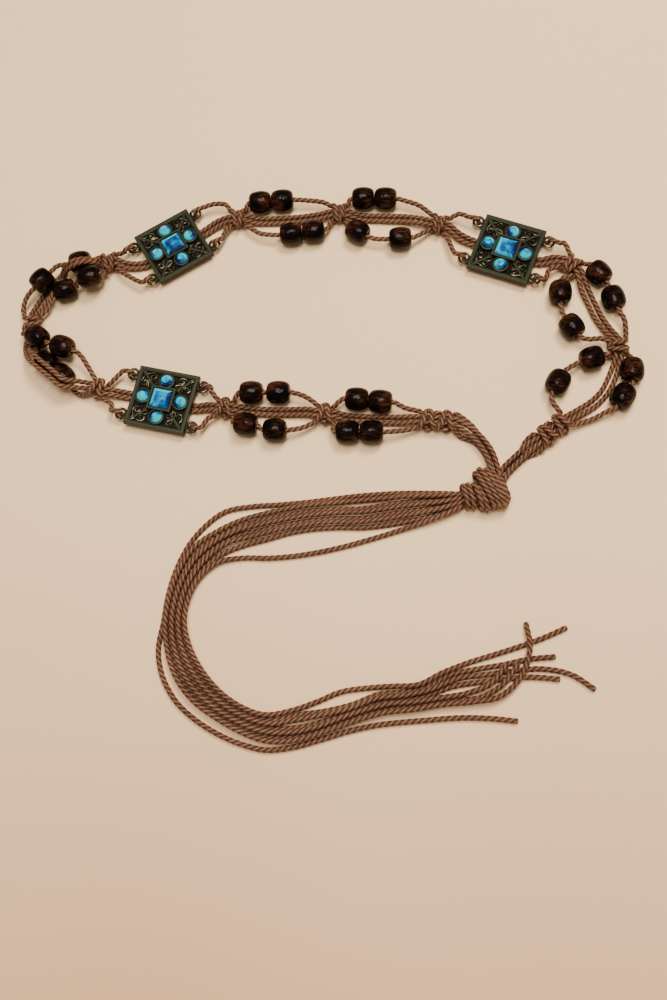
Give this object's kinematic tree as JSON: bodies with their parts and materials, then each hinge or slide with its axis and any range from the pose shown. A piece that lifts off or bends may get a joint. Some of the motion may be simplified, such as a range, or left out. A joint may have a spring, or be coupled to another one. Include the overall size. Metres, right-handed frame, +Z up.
{
  "type": "cord waist belt",
  "caption": "Knotted cord belt tied closed, with dark wooden barrel beads, square bronze plates set with turquoise stones, one large knot and free tails.",
  "frame": {"origin": "centre of the tied belt's footprint, its tails left out, on the surface it lies on", "axes": "+X along the long side of the laid belt, towards the end the knot is nearest to; +Y across the loop, away from the large knot; +Z up from the surface"},
  "size_m": [0.3091, 0.282, 0.0157],
  "materials": {
    "cord": "waxed",
    "lacquered_wood": "gloss lacquer",
    "aged_bronze": "aged",
    "turquoise_glass": "polished, opaque"
  },
  "bodies": {
    "root": {"work_cord_1": "cord", "work_cord_2": "cord", "filler_cord_1": "cord", "filler_cord_2": "cord", "large_knot": "cord", "tail_1": "cord", "tail_2": "cord", "tail_3": "cord", "tail_4": "cord", "tail_5": "cord", "tail_6": "cord", "tail_7": "cord", "tail_8": "cord", "bead_a1": "lacquered_wood", "bead_a2": "lacquered_wood", "bead_a3": "lacquered_wood", "bead_a4": "lacquered_wood", "bead_b1": "lacquered_wood", "bead_b2": "lacquered_wood", "bead_b3": "lacquered_wood", "bead_b4": "lacquered_wood", "bead_c1": "lacquered_wood", "bead_c2": "lacquered_wood", "bead_c3": "lacquered_wood", "bead_c4": "lacquered_wood", "bead_d1": "lacquered_wood", "bead_d2": "lacquered_wood", "bead_d3": "lacquered_wood", "bead_d4": "lacquered_wood", "bead_e1": "lacquered_wood", "bead_e2": "lacquered_wood", "bead_e3": "lacquered_wood", "bead_e4": "lacquered_wood", "bead_f1": "lacquered_wood", "bead_f2": "lacquered_wood", "bead_f3": "lacquered_wood", "bead_f4": "lacquered_wood", "bead_g1": "lacquered_wood", "bead_g2": "lacquered_wood", "bead_g3": "lacquered_wood", "bead_g4": "lacquered_wood", "bead_h1": "lacquered_wood", "bead_h2": "lacquered_wood", "bead_h3": "lacquered_wood", "bead_h4": "lacquered_wood", "plate_1": "aged_bronze", "plate_1_stone_1": "turquoise_glass", "plate_1_stone_2": "turquoise_glass", "plate_1_stone_3": "turquoise_glass", "plate_1_stone_4": "turquoise_glass", "plate_2": "aged_bronze", "plate_2_stone_1": "turquoise_glass", "plate_2_stone_2": "turquoise_glass", "plate_2_stone_3": "turquoise_glass", "plate_2_stone_4": "turquoise_glass", "plate_3": "aged_bronze", "plate_3_stone_1": "turquoise_glass", "plate_3_stone_2": "turquoise_glass", "plate_3_stone_3": "turquoise_glass", "plate_3_stone_4": "turquoise_glass"}
  },
  "joints": []
}
